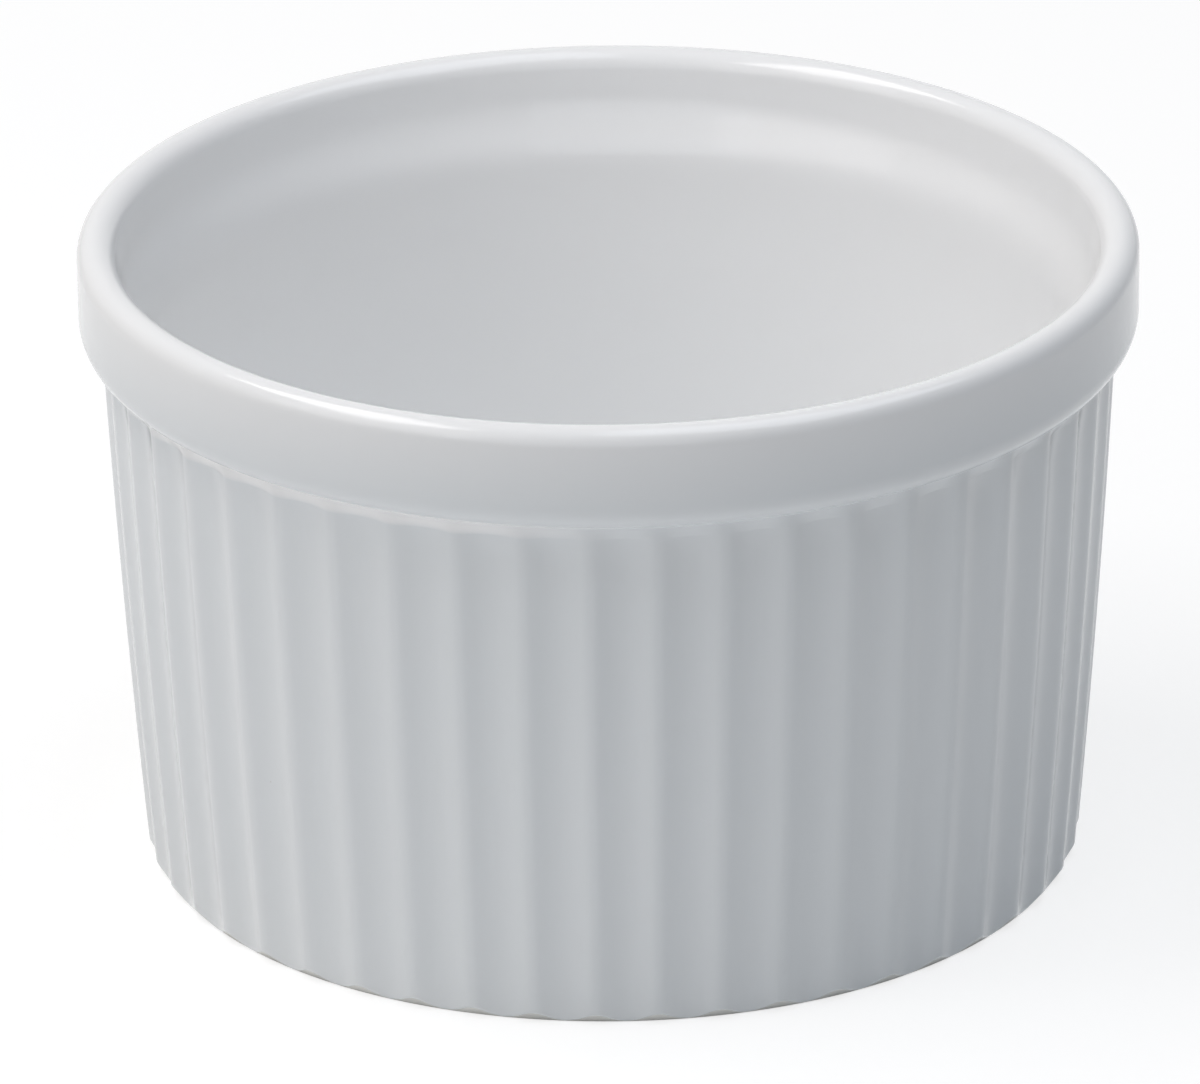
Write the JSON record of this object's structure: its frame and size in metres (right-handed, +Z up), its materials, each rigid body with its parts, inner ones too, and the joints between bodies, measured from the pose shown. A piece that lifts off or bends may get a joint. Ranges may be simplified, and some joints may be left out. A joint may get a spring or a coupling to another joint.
{
  "type": "souffle dish",
  "caption": "Deep round white porcelain souffle dish with upright fluted sides, a smooth rolled rim band and a bare foot ring, for baking and serving.",
  "frame": {"origin": "on the axis of the dish, in the plane of the foot ring's standing face", "axes": "+Z up along the axis of the dish, from the standing face to the lip; an arris between two flutes lies on +X"},
  "size_m": [0.17, 0.17, 0.1049],
  "materials": {
    "biscuit_porcelain": "bare, fine matt",
    "clear_glaze": "gloss"
  },
  "bodies": {
    "root": {"porcelain_body": "biscuit_porcelain", "glaze_coat": "clear_glaze", "base_glaze": "clear_glaze"}
  },
  "joints": []
}
